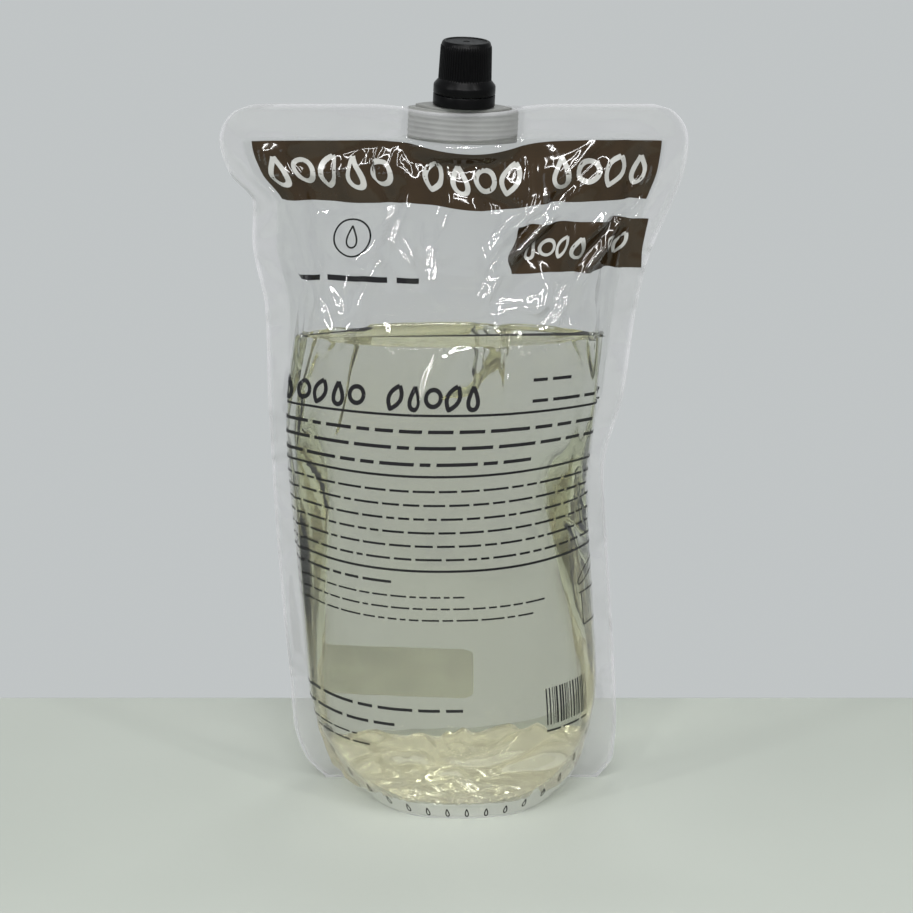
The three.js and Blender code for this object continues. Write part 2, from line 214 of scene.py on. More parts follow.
def links_of(target, weight):
    """The film's threads: pairs of neighbouring grid points, with the length of film between them."""
    pick = np.s_

    def apart(a, b):
        return np.sqrt(((target[b] - target[a]) ** 2).sum(-1))

    stretch = slack(target[0, :, :, 2])[None]
    wide = apart(pick[:, :, :-1], pick[:, :, 1:])
    links = []
    for k in (0, 1):
        a, b = pick[:, :, k:-1:2], pick[:, :, k + 1 :: 2]
        links.append((a, b, apart(a, b) * stretch[:, :, k:-1:2], 1.0))
        a, b = pick[:, k:-1:2, :], pick[:, k + 1 :: 2, :]
        links.append((a, b, apart(a, b) * 1.003, 1.0))
        longer = (stretch[:, k:-1:2, :-1] ** 2 - 1) * wide[:, k:-1:2] ** 2
        for a, b in (
            (pick[:, k:-1:2, :-1], pick[:, k + 1 :: 2, 1:]),
            (pick[:, k:-1:2, 1:], pick[:, k + 1 :: 2, :-1]),
        ):
            links.append((a, b, np.sqrt(apart(a, b) ** 2 + longer), 0.4))
    ready = []
    for a, b, length, stiffness in links:
        both = weight[a] + weight[b]
        share = stiffness / np.where(both == 0, 1, both)
        ready.append((a, b, length, share, weight[a][..., None], weight[b][..., None]))
    return ready


def relax(grid, target, u, v, steps, push, bend, ruffle, seed):
    """Lets the film settle under the soap's pressure, its welds and the spout, and wrinkle."""
    across, up = np.meshgrid(u, v)
    height = target[0, :, :, 2]
    in_bottom_seal = up < seal_height(across)
    by_spout = np.abs(target[0, :, :, 0] - spout_x(height)) < BOAT_HALF + 2.4
    on_boat = by_spout & (height > SPOUT_FOOT[1] + 1)
    welded = ((np.abs(across) > INNER - 0.01) | (up > FLAT_TOP - TOP_SEAL)) & ~on_boat
    pinned = (up < 2.0) | on_boat
    ears = in_bottom_seal & (np.abs(across) > 55)  # the bottom seal's free corners
    hold = np.where(ears, 0.03, np.where(in_bottom_seal, 0.15, 0.0))
    hold = np.maximum(hold, np.where(by_spout & ~welded, 0.3 * smooth(height, 246, 254), 0))
    hold = np.where(pinned, 1.0, hold)[None, ..., None]
    weight = np.ones(grid.shape[:3])
    weight[:, pinned] = 0
    seeds = 0.7 * smooth_noise(grid.shape, seed, (10, 19))
    seeds = seeds + 0.4 * smooth_noise(grid.shape, seed + 7, (25, 25))
    free = np.where(pinned, 0, np.where(welded | in_bottom_seal, 0.3, 1.0))
    grid[..., 1] += seeds * ruffle * free * (0.12 + smooth(height, 90, 170))
    stiff = np.where(welded, bend * 3, bend)[None, ..., None]
    side = np.array([-1.0, 1.0])[:, None, None]
    deepest = np.abs(target[..., 1]) + 0.2
    links = links_of(target, weight)
    speed = np.zeros_like(grid)
    for _ in range(steps):
        du, dv = np.zeros_like(grid), np.zeros_like(grid)
        du[:, :, 1:-1] = (grid[:, :, 2:] - grid[:, :, :-2]) / (2 * (u[1] - u[0]))
        dv[:, 1:-1] = (grid[:, 2:] - grid[:, :-2]) / (2 * (v[1] - v[0]))
        outward = np.cross(du, dv)
        outward[1] *= -1
        pressure = push * (np.clip(1 - grid[..., 2] / SOAP_LEVEL, 0, 1) + 0.02) * ~welded
        speed += pressure[..., None] * outward - stiff * laplacian(laplacian(grid))
        speed *= 0.97
        before = grid.copy()
        grid += speed * weight[..., None]
        for a, b, length, share, weight_a, weight_b in links:
            d = grid[b] - grid[a]
            now = np.maximum(np.sqrt((d * d).sum(-1)), 1e-9)
            d *= (share * (now - length) / now)[..., None]
            grid[a] += weight_a * d
            grid[b] -= weight_b * d
        middle = (grid[0] + grid[1]) / 2
        grid[:, welded] = middle[welded]
        grid += (target - grid) * hold
        # The outline stands where the real one does, and the spout holds the top edge up.
        ends = grid[0, :, 0, 2], grid[0, :, -1, 2]
        grid[:, :, 0, 0] += 0.05 * (corner_cut(ends[0]) - left_edge(ends[0]) - grid[:, :, 0, 0])
        grid[:, :, -1, 0] += 0.05 * (right_edge(ends[1]) - corner_cut(ends[1]) - grid[:, :, -1, 0])
        grid[:, -1, :, 2] += 0.2 * (target[:, -1, :, 2] - grid[:, -1, :, 2])
        grid[:, -1, :, 1] *= 0.97
        grid[..., 1] -= side * np.clip(side * grid[..., 1] - deepest, 0, None) * 0.5
        closer = np.clip(2 * SEAL_HALF - (grid[1, ..., 1] - grid[0, ..., 1]), 0, None) / 2 * ~welded
        grid[..., 1] += side * closer
        grid[..., 2] = np.maximum(grid[..., 2], 0)
        speed = grid - before
    return grid


def settled_film():
    """The settled film, coarse to fine, as (u, v, grid) in millimetres."""
    columns, rows = 28, 44
    u, v, target = plain_film(columns, rows)
    grid = target.copy()
    # Steps, pressure, stiffness and the height of the first ruffles.
    passes = ((900, 0.006, 0.004, 2.5), (800, 0.004, 0.003, 0.5), (400, 0.002, 0.002, 0.15))
    for steps, push, bend, ruffle in passes:
        if len(u) - 1 != columns:
            u, v, target = plain_film(columns, rows)
            grid = refined(grid)
        grid = relax(grid, target, u, v, steps, push, bend, ruffle, seed=1)
        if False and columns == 56:
            break
        columns, rows = 2 * columns, 2 * rows
    grid[..., 1] += PACK_Y
    grid[..., 2] = np.maximum(grid[..., 2], WEB_OUT)
    return u, v, grid


# ---- Making meshes ----
def add_mesh(name, points, faces, finish, body="pouch"):
    """A smooth-shaded piece that rides a body of the part. Points are in millimetres."""
    mesh = bpy.data.meshes.new(name)
    mesh.from_pydata((np.asarray(points, float) * MM).tolist(), [], [list(map(int, f)) for f in faces])
    mesh.validate()
    mesh.materials.append(finish)
    mesh.polygons.foreach_set("use_smooth", [True] * len(mesh.polygons))
    piece = bpy.data.objects.new(name, mesh)
    scene.collection.objects.link(piece)
    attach(piece, body)
    return piece


def grid_faces(rows, columns, flip=False):
    """The quads of a grid of points that are numbered row by row."""
    at = np.arange(rows * columns).reshape(rows, columns)
    quads = np.stack([at[:-1, :-1], at[:-1, 1:], at[1:, 1:], at[1:, :-1]], -1).reshape(-1, 4)
    return quads[:, ::-1] if flip else quads


def normals_of(sheet):
    """Unit normals of a grid [row, column], towards -Y for one that runs left to right and up."""
    du, dv = np.gradient(sheet, axis=1), np.gradient(sheet, axis=0)
    n = np.cross(du, dv)
    return n / np.maximum(np.linalg.norm(n, axis=-1, keepdims=True), 1e-9)


def add_attribute(piece, name, values):
    layer = piece.data.attributes.new(name, "FLOAT", "POINT")
    layer.data.foreach_set("value", np.asarray(values, np.float32).ravel())


# ---- Materials ----
def material(name):
    """An empty node material, as (material, tree, output)."""
    made = bpy.data.materials.new(name)
    made.use_nodes = True
    tree = made.node_tree
    tree.nodes.clear()
    output = tree.nodes.new("ShaderNodeOutputMaterial")
    return made, tree, output


def node(tree, kind, **inputs):
    made = tree.nodes.new("ShaderNode" + kind)
    for name, value in inputs.items():
        made.inputs[name.replace("_", " ")].default_value = value
    return made


def noise_of(tree, scale, detail=3.0, roughness=0.5):
    where = node(tree, "TexCoord")
    noise = node(tree, "TexNoise", Scale=scale, Detail=detail, Roughness=roughness)
    tree.links.new(where.outputs["Object"], noise.inputs["Vector"])
    return noise.outputs["Fac"]


def ramp(tree, fac, *stops):
    made = tree.nodes.new("ShaderNodeValToRGB")
    while len(made.color_ramp.elements) < len(stops):
        made.color_ramp.elements.new(0.5)
    for element, (position, colour) in zip(made.color_ramp.elements, stops):
        element.position = position
        element.color = (*colour, 1) if len(colour) == 3 else colour
    tree.links.new(fac, made.inputs["Fac"])
    return made.outputs["Color"]


def bump(tree, height, strength, distance, after=None):
    made = node(tree, "Bump", Strength=strength, Distance=distance)
    tree.links.new(height, made.inputs["Height"])
    if after is not None:
        tree.links.new(after, made.inputs["Normal"])
    return made.outputs["Normal"]


def maths(tree, operation, *values):
    made = tree.nodes.new("ShaderNodeMath")
    made.operation = operation
    for socket, value in zip(made.inputs, values):
        if isinstance(value, (int, float)):
            socket.default_value = value
        else:
            tree.links.new(value, socket)
    return made.outputs[0]


def attribute(tree, name):
    made = node(tree, "Attribute")
    made.attribute_name = name
    return made.outputs["Fac"]


def blended(tree, fac, a, b):
    """A mix of two shaders."""
    made = node(tree, "MixShader")
    for socket, source in zip(made.inputs, (fac, a, b)):
        tree.links.new(source, socket)
    return made.outputs[0]


def film_material(name, haze_colour, least_haze):
    """Clear glossy film, a little hazy, and whiter where two webs are welded; a whiter line along its cut
    edge is a painted highlight.
    """
    made, tree, output = material(name)
    crinkle = bump(tree, noise_of(tree, 45, 2, 0.4), 0.2, 0.0012)
    normal = bump(tree, noise_of(tree, 420, 2), 0.04, 0.0002, crinkle)
    clear = node(tree, "BsdfTransparent", Color=(0.915, 0.915, 0.912, 1))
    gloss = node(tree, "BsdfGlossy", Color=(1, 1, 1, 1), Roughness=0.025)
    haze = node(tree, "BsdfDiffuse", Color=haze_colour)
    facing = node(tree, "LayerWeight", Blend=0.5)
    for socket in (gloss.inputs["Normal"], facing.inputs["Normal"], haze.inputs["Normal"]):
        tree.links.new(normal, socket)
    # Straight on the film reflects a few percent, and at a grazing angle all of the light.
    sheen = maths(tree, "POWER", facing.outputs["Facing"], 4.0)
    reflected = maths(tree, "MULTIPLY_ADD", sheen, 0.94, 0.06)
    cloud = maths(tree, "MULTIPLY_ADD", noise_of(tree, 30, 4), 0.05, least_haze)
    weld = maths(tree, "MULTIPLY", attribute(tree, "seal"), 0.12)
    # Painted highlight: the strip along the cut edge is made whiter, standing in for the glint the edge
    # catches.
    edge = maths(tree, "MULTIPLY", attribute(tree, "rim"), 0.3)
    milky = maths(tree, "ADD", maths(tree, "ADD", weld, edge), cloud)
    body = blended(tree, milky, clear.outputs[0], haze.outputs[0])
    whole = blended(tree, reflected, body, gloss.outputs[0])
    tree.links.new(whole, output.inputs["Surface"])
    return made


def soap_material():
    """Clear liquid that bends light like water and takes a little of its blue."""
    made, tree, output = material("soap_liquid")
    surface = node(tree, "BsdfPrincipled", Base_Color=(0.86, 0.87, 0.82, 1), Roughness=0.0, IOR=1.35,
                   Transmission_Weight=1)
    body = node(tree, "VolumeAbsorption", Color=(0.62, 0.63, 0.3, 1), Density=5.0)
    tree.links.new(surface.outputs[0], output.inputs["Surface"])
    tree.links.new(body.outputs[0], output.inputs["Volume"])
    return made


def print_material(name, colour, roughness, uneven=0.12):
    """Ink on film: glossy like the film, slightly uneven in tone."""
    made, tree, output = material(name)
    surface = node(tree, "BsdfPrincipled", Roughness=roughness, Specular_IOR_Level=0.42)
    low = tuple(c * (1 - uneven) for c in colour)
    high = tuple(min(1, c * (1 + uneven)) for c in colour)
    tint = ramp(tree, noise_of(tree, 90, 4), (0.35, low), (0.65, high))
    tree.links.new(tint, surface.inputs["Base Color"])
    tree.links.new(bump(tree, noise_of(tree, 60, 3, 0.6), 0.3, 0.001), surface.inputs["Normal"])
    tree.links.new(surface.outputs[0], output.inputs["Surface"])
    return made


def moulded_material(name, colour, roughness, see_through=0.0):
    """Injection-moulded plastic: a fine satin texture with slight flow marks."""
    made, tree, output = material(name)
    specular = 0.5 if see_through else 0.08
    surface = node(tree, "BsdfPrincipled", Specular_IOR_Level=specular, IOR=1.5,
                   Transmission_Weight=see_through)
    low, high = tuple(c * 0.85 for c in colour), tuple(min(1, c * 1.15) for c in colour)
    tree.links.new(ramp(tree, noise_of(tree, 160, 5), (0.3, low), (0.7, high)), surface.inputs["Base Color"])
    smoother, rougher = (roughness * 0.85,) * 3, (roughness * 1.15,) * 3
    rough = ramp(tree, noise_of(tree, 500, 4), (0.3, smoother), (0.7, rougher))
    tree.links.new(rough, surface.inputs["Roughness"])
    grain = bump(tree, noise_of(tree, 2500, 3), 0.15, 0.0001)
    tree.links.new(bump(tree, noise_of(tree, 120, 2), 0.1, 0.0004, grain), surface.inputs["Normal"])
    tree.links.new(surface.outputs[0], output.inputs["Surface"])
    return made


FILM = film_material("clear_film", (0.5, 0.5, 0.52, 1), 0.0)
GUSSET_FILM = film_material("gusset_film", (0.56, 0.52, 0.39, 1), 0.25)
SOAP = soap_material()
BROWN_INK = print_material("brown_ink", (0.020, 0.012, 0.005), 0.08)
BLACK_INK = print_material("black_ink", (0.006, 0.006, 0.007), 0.08)
PALE_INK = print_material("pale_ink", (0.31, 0.31, 0.295), 0.12, 0.04)
LABEL = print_material("label_paper", (0.25, 0.255, 0.225), 0.6)
LABEL_INK = print_material("label_ink", (0.12, 0.11, 0.09), 0.5)
BLACK_PLASTIC = moulded_material("black_plastic", (0.0016, 0.0016, 0.0018), 0.33)
NATURAL_PLASTIC = moulded_material("natural_plastic", (0.34, 0.345, 0.33), 0.45, 0.6)
BUBBLE = film_material("bubble_skin", (0.7, 0.7, 0.66, 1), 0.12)


# ---- Film, soap and gusset ----
def crumple(points, seed, wavelength, height, octaves=7):
    """Folds like those of crumpled film: warped waves of flat facets with tight, round crests."""
    random = np.random.default_rng(seed)
    size = points.shape[-1]
    total = np.zeros(points.shape[:-1])
    warp = np.zeros(points.shape)
    for k in range(size):
        direction = random.normal(size=size)
        direction *= 2 * math.pi / (wavelength * 2.5) / np.linalg.norm(direction)
        warp[..., k] = np.sin(points @ direction + random.uniform(0, 6.3)) * wavelength * 0.35
    for k in range(octaves):
        direction = random.normal(size=size)
        direction /= np.linalg.norm(direction) * wavelength * 0.8**k
        turn = 2 * math.pi * ((points + warp) @ direction + random.uniform())
        total += height * 0.8**k * np.arcsin(0.97 * np.sin(turn)) / math.pi
    return total


def fold(u, v, start, end, width, height, bow):
    """A single fold from start to end, pointed at both ends, that may bow to one side."""
    along = np.subtract(end, start)
    length = np.hypot(*along)
    along = along / length
    t = ((u - start[0]) * along[0] + (v - start[1]) * along[1]) / length
    off = (v - start[1]) * along[0] - (u - start[0]) * along[1] - bow * 4 * t * (1 - t)
    taper = np.clip(4 * t * (1 - t), 0, 1)
    off = np.hypot(off, 0.5) / (width * np.sqrt(taper) + 1e-3)
    return height * taper * np.clip(1 - off, 0, 1) ** 1.3


def slanted(u, v, degrees, stretch):
    """Coordinates in which folds come out long in one direction."""
    c, s = math.cos(math.radians(degrees)), math.sin(math.radians(degrees))
    return np.stack([v * c - u * s, (u * c + v * s) / stretch], -1)


# Single large folds: start and end, width, height (inward if negative) and bow.
FRONT_FOLDS = [
    ((-30, 226), (-4, 196), 5, 2.6, 2), ((28, 190), (68, 232), 6, 2.2, -3),
    ((10, 193), (52, 197), 5, 2.0, 2), ((-72, 246), (-22, 255), 6, 2.4, -3),
    ((-22, 244), (40, 222), 5, -2.0, 5), ((18, 193), (26, 176), 4, 2.2, 0),
    ((-28, 192), (-24, 180), 3, 1.4, 0), ((-70, 150), (-66, 30), 5, 1.5, 2),
]
BACK_FOLDS = [
    ((24, 196), (-2, 148), 8, -5.0, 5), ((64, 176), (68, 96), 7, -5.0, 3),
    ((-62, 180), (-70, 70), 8, -5.0, -3), ((40, 100), (62, 60), 6, -4.0, 3),
]


def creased(u_flat, v_flat, film):
    """Adds the sharp small folds that the settled film still lacks, mostly above the soap."""
    u, v = np.meshgrid(u_flat, v_flat)
    by_spout = np.exp(-(((u - SPOUT_FOOT[0]) / 27) ** 4)) * smooth(v, 234, 246)
    free = smooth(INNER - 0.5 - np.abs(u), 0, 7) * smooth(FLAT_TOP - TOP_SEAL - v, 0, 5) * (1 - by_spout)
    free = free * smooth(v - seal_height(u), 2, 14)
    above_soap = smooth(v, 184, 198)
    shoulder = smooth(u, 4, 24) * above_soap * (1 - 0.6 * smooth(v, 226, 236))
    left_top = (1 - smooth(u, -30, -12)) * smooth(v, 228, 240)
    left = (1 - smooth(u, -14, 6)) * above_soap * (1 - left_top) * 0.5
    below = 0.04 + 0.1 * smooth(v, 130, 180)
    # Where folds lie, which way they run in degrees, and how far apart and high they are.
    places = [(shoulder, 57, 13, 2.9), (left_top, 12, 15, 1.8), (left, 125, 17, 2.6), (below, 80, 26, 2.6)]
    for side, folds in enumerate((FRONT_FOLDS, BACK_FOLDS)):
        height = np.zeros_like(u)
        for k, (share, degrees, wavelength, depth) in enumerate(places):
            flat = slanted(u, v, degrees + 9 * side, 4.5)
            height += crumple(flat, 21 + 13 * side + k, wavelength, depth, 3) * share
        for each in folds:
            height += fold(u, v, *each)
        film[side] += (normals_of(film[side]) * (1 - 2 * side)) * (height * free)[..., None]
    # The side seals are stiff strips that wave gently along their length.
    wave = np.sin(v / 17 + np.where(u < 0, 0.8, 2.9)) + 0.5 * np.sin(v / 7.3 + np.where(u < 0, 2.0, 0.3))
    film[..., 1] += 1.7 * wave * smooth(np.abs(u), INNER - 3, HALF_WIDTH) * smooth(v, 6, 40)
    overlap = np.clip(0.7 * free - (film[1, ..., 1] - film[0, ..., 1]), 0, None) / 2
    film[0, ..., 1] -= overlap
    film[1, ..., 1] += overlap
    return film


u_flat, v_flat, film = settled_film()
film = refined(film)
u_flat = np.linspace(u_flat[0], u_flat[-1], film.shape[2])
v_flat = np.linspace(v_flat[0], v_flat[-1], film.shape[1])
film = creased(u_flat, v_flat, film)
U_GRID, V_GRID = np.meshgrid(u_flat, v_flat)
FILM_NORMALS = np.stack([normals_of(film[0]), -normals_of(film[1])])


def film_point(u, v, side=0, out=0.0):
    """Points on a web, for flat coordinates in millimetres, moved out from its surface."""
    i = np.clip((np.asarray(u, float) + HALF_WIDTH) / (u_flat[1] - u_flat[0]), 0, len(u_flat) - 1.001)
    j = np.clip(np.asarray(v, float) / (v_flat[1] - v_flat[0]), 0, len(v_flat) - 1.001)
    i0, j0 = i.astype(int), j.astype(int)
    fi, fj = (i - i0)[..., None], (j - j0)[..., None]
    surface = film[side] + FILM_NORMALS[side] * out
    near = surface[j0, i0] * (1 - fi) + surface[j0, i0 + 1] * fi
    far = surface[j0 + 1, i0] * (1 - fi) + surface[j0 + 1, i0 + 1] * fi
    return near * (1 - fj) + far * fj


def make_films():
    """Both webs, with attributes that mark the welds and the cut edge, which gets a painted highlight."""
    for side, name in enumerate(("front_film", "back_film")):
        sheet = film[side] + FILM_NORMALS[side] * WEB_OUT
        faces = grid_faces(len(v_flat), len(u_flat), flip=side == 1)
        piece = add_mesh(name + "_web", sheet.reshape(-1, 3), faces, FILM)
        top_weld = smooth(V_GRID, FLAT_TOP - TOP_SEAL - 0.5, FLAT_TOP - TOP_SEAL + 0.5)
        welded = np.clip(smooth(np.abs(U_GRID), INNER - 0.8, INNER) + top_weld, 0, 1)
        welded = np.maximum(welded, 1 - smooth(V_GRID - seal_height(U_GRID), -0.6, 0.3))
        add_attribute(piece, "seal", welded)
        # rim: the strip along the cut edge where the film is drawn whiter, as a painted highlight.
        rim = 1 - smooth(HALF_WIDTH - np.abs(U_GRID), 0.3, 1.7) * smooth(V_GRID, 0.3, 1.7)
        rim = np.maximum(rim, smooth(V_GRID, FLAT_TOP - 1.7, FLAT_TOP - 0.3))
        add_attribute(piece, "rim", rim)
        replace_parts(piece, name)


def gusset_grid(inset, lift):
    """The bottom web: from the front's curved seal, down to the floor, to the back's."""
    columns = np.flatnonzero(np.abs(u_flat) <= INNER - 3)
    t = np.linspace(0, 1, 61)
    rows = []
    for i in columns:
        u = u_flat[i]
        v = seal_height(u)
        ends = [film_point(np.array(u), np.array(v), side, -inset) for side in (0, 1)]
        middle = ends[0][2] * np.clip((abs(u) - 30) / (INNER - 30), 0, 1) ** 2.2
        line = ends[0] + (ends[1] - ends[0]) * t[:, None]
        line[:, 2] = middle + (line[:, 2] - middle) * np.abs(2 * t - 1) ** 5
        rows.append(line)
    grid = np.array(rows).transpose(1, 0, 2)
    away = np.minimum(t, 1 - t)[:, None]
    fade = smooth(away, 0, 0.05) * smooth(INNER - 3 - np.abs(u_flat[columns])[None], 0, 8)
    near_rim = 0.45 + 0.55 * smooth(0.35 - away, 0, 0.25)
    folds = crumple(grid, 5, 24, 2.6)
    toward_back = smooth(t, 0.05, 0.8)[:, None]
    grid[..., 2] += (np.abs(folds) * 2.2 + 9 * toward_back) * fade * near_rim
    grid[..., 2] = np.maximum(grid[..., 2], 0.05) + lift
    return columns, grid


def make_gusset():
    """The crumpled bottom web, under the soap."""
    _, grid = gusset_grid(0.9, 0.5)
    faces = grid_faces(grid.shape[0], grid.shape[1])
    piece = add_mesh("gusset_web", grid.reshape(-1, 3), faces, GUSSET_FILM)
    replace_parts(piece, "gusset_film")


def make_soap():
    """The closed inside of the pouch above the gusset, cut off level at the top."""
    inset = 0.45
    columns, bottom = gusset_grid(inset + 0.3, 0.1)
    top_row = int(np.searchsorted(v_flat, SOAP_LEVEL + 16))  # clear of the level, to be cut off
    steps = int(0.55 * top_row)
    bm = bmesh.new()

    def rows_above(side):
        """Points up each column of a web, from its bottom seal."""
        lines = []
        share = np.linspace(0, 1, steps + 1) ** 1.15
        for i in columns:
            low = seal_height(u_flat[i])
            v = low + (v_flat[top_row] - low) * share
            lines.append(film_point(np.full(len(v), u_flat[i]), v, side, -inset))
        return np.array(lines).transpose(1, 0, 2)

    front, back = rows_above(0), rows_above(1)
    front[0], back[0] = bottom[0], bottom[-1]
    for sheet, side in ((front, -1), (back, 1)):
        sheet[..., 1] = PACK_Y + side * np.maximum(side * (sheet[..., 1] - PACK_Y), 0.1)
    sheets = [[[bm.verts.new(p * MM) for p in row] for row in sheet] for sheet in (front, back, bottom)]
    for number, sheet in enumerate(sheets):
        for j in range(len(sheet) - 1):
            for i in range(len(columns) - 1):
                face = [sheet[j][i], sheet[j][i + 1], sheet[j + 1][i + 1], sheet[j + 1][i]]
                bm.faces.new(face[::-1] if number == 1 else face)
    # The two sides, where the front meets the back.
    for i in (0, len(columns) - 1):
        for j in range(steps):
            face = [sheets[0][j][i], sheets[0][j + 1][i], sheets[1][j + 1][i], sheets[1][j][i]]
            bm.faces.new(face[::-1] if i == 0 else face)
        rim = [row[i] for row in sheets[2]]
        bm.faces.new(rim if i == 0 else rim[::-1])
    bmesh.ops.remove_doubles(bm, verts=bm.verts, dist=1e-6)
    level = Vector((0, 0, SOAP_LEVEL * MM))
    everything = bm.verts[:] + bm.edges[:] + bm.faces[:]
    bmesh.ops.bisect_plane(bm, geom=everything, plane_co=level, plane_no=(0, 0, 1), clear_outer=True)
    rim = [e for e in bm.edges if e.is_boundary]
    surface = bmesh.ops.contextual_create(bm, geom=rim)["faces"]
    # The meniscus: the soap climbs a little where it meets the film.
    for width, climb in ((0.5, 0.0), (0.6, -0.45), (0.9, -0.3)):
        bmesh.ops.inset_region(bm, faces=surface, thickness=width * MM, depth=0, use_even_offset=False)
        for v in {v for f in surface for v in f.verts}:
            v.co.z += climb * MM
    bmesh.ops.triangulate(bm, faces=surface)
    bmesh.ops.recalc_face_normals(bm, faces=bm.faces)
    mesh = bpy.data.meshes.new("soap_body")
    bm.to_mesh(mesh)
    bm.free()
    mesh.materials.append(SOAP)
    mesh.polygons.foreach_set("use_smooth", [True] * len(mesh.polygons))
    piece = bpy.data.objects.new("soap_body", mesh)
    scene.collection.objects.link(piece)
    piece.visible_shadow = False
    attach(piece, "pouch")
    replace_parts(piece, "soap")


def make_bubbles():
    """A few tiny bubbles against the front web, just under the soap's surface."""
    random = np.random.default_rng(9)
    points, faces = [], []
    turn, tilt = np.meshgrid(np.linspace(0, 2 * math.pi, 13), np.linspace(0, math.pi, 8))
    ball = np.stack([np.sin(tilt) * np.cos(turn), np.sin(tilt) * np.sin(turn), np.cos(tilt)], -1)
    for k in range(16):
        radius = random.uniform(0.35, 0.9)
        u = random.normal(24, 9) if k % 3 else random.uniform(-55, 55)
        column = film[0, :, int((u + HALF_WIDTH) / (u_flat[1] - u_flat[0])), 2]
        v = np.interp(SOAP_LEVEL - radius - random.exponential(1.5), column, v_flat)
        centre = film_point(np.array(u), np.array(v), 0, -radius - 0.8)
        faces += (grid_faces(*turn.shape) + sum(len(p) for p in points)).tolist()
        points.append((centre + radius * ball).reshape(-1, 3))
    add_mesh("soap_bubbles", np.concatenate(points), faces, BUBBLE)


make_films()
make_gusset()
make_soap()
make_bubbles()


# ---- Print, in flat coordinates on the front web ----
FULL_TURN = np.linspace(0, 2 * math.pi, 33)


class Ink:
    """Flat shapes on a web, gathered into one mesh that follows the film."""

    def __init__(self, side=0, out=0.24):
        self.side, self.out = side, out
        self.points, self.faces = [], []

    def patch(self, u, v):
        """A grid of flat points. Under the spout the print sags with the film."""
        first = sum(len(p) for p in self.points)
        v = v - 3.4 * np.exp(-(((u - 9) / 20) ** 2)) * smooth(v, 205, 238)
        sheet = film_point(u, v, self.side, self.out)
        self.points.append(sheet.reshape(-1, 3))
        faces = grid_faces(*u.shape, flip=self.side == 1)
        self.faces.extend((faces + first).tolist())

    def bar(self, u0, u1, v0, v1, lean=0.0):
        """A rectangle. With lean, its right end slants."""
        columns, rows = max(2, round(abs(u1 - u0) / 1.5) + 1), max(2, round(abs(v1 - v0) / 1.5) + 1)
        s, t = np.meshgrid(np.linspace(0, 1, columns), np.linspace(0, 1, rows))
        self.patch(u0 + (u1 - u0 + lean * (t - 1)) * s, v0 + (v1 - v0) * t)

    def outline(self, u, v, width):
        """A stroke along a closed outline that is given by arrays of points."""
        du, dv = np.gradient(u), np.gradient(v)
        length = np.maximum(np.hypot(du, dv), 1e-6)
        edges = np.array([-0.5, 0.5])[:, None] * width
        self.patch(u - dv / length * edges, v + du / length * edges)

    def ring(self, u, v, height, width):
        radius = height * 0.36
        self.outline(u + radius * np.cos(FULL_TURN), v + radius * np.sin(FULL_TURN), width)

    def drop(self, u, v, height, width):
        """A drop that stands on its round end."""
        du = height * 0.33 * np.sin(FULL_TURN) * np.sin(FULL_TURN / 2) ** 1.4
        self.outline(u + du, v + height * 0.5 * np.cos(FULL_TURN), width)

    def leaf(self, u, v, height, width):
        """A slanting leaf, pointed at both ends."""
        along, out = np.cos(FULL_TURN), np.sin(FULL_TURN) * np.abs(np.sin(FULL_TURN))
        self.outline(u + height * (0.28 * out + 0.2 * along), v + height * (0.5 * along - 0.08 * out), width)

    def row_of_shapes(self, u0, u1, v, height, width, groups):
        """Simple shapes evenly along a line, in groups like words."""
        step = (u1 - u0) / (sum(groups) + len(groups) - 1)
        place, number = u0 + step / 2, 0
        for group in groups:
            for _ in range(group):
                shape = (self.drop, self.ring, self.leaf)[number % 3]
                shape(place, v, height, width)
                number += 1
                place += step
            place += step

    def line_of_dashes(self, u0, u1, v, height, random):
        """A line of small print, as dashes as long as words."""
        u = u0
        while u < u1 - height * 1.5:
            end = min(u1, u + height * random.uniform(1.3, 5.5))
            self.bar(u, end, v - height * 0.2, v + height * 0.2)
            u = end + height * 0.75

    def piece(self, name, finish, slot="clear_film"):
        return add_mesh(name, np.concatenate(self.points), self.faces, finish)


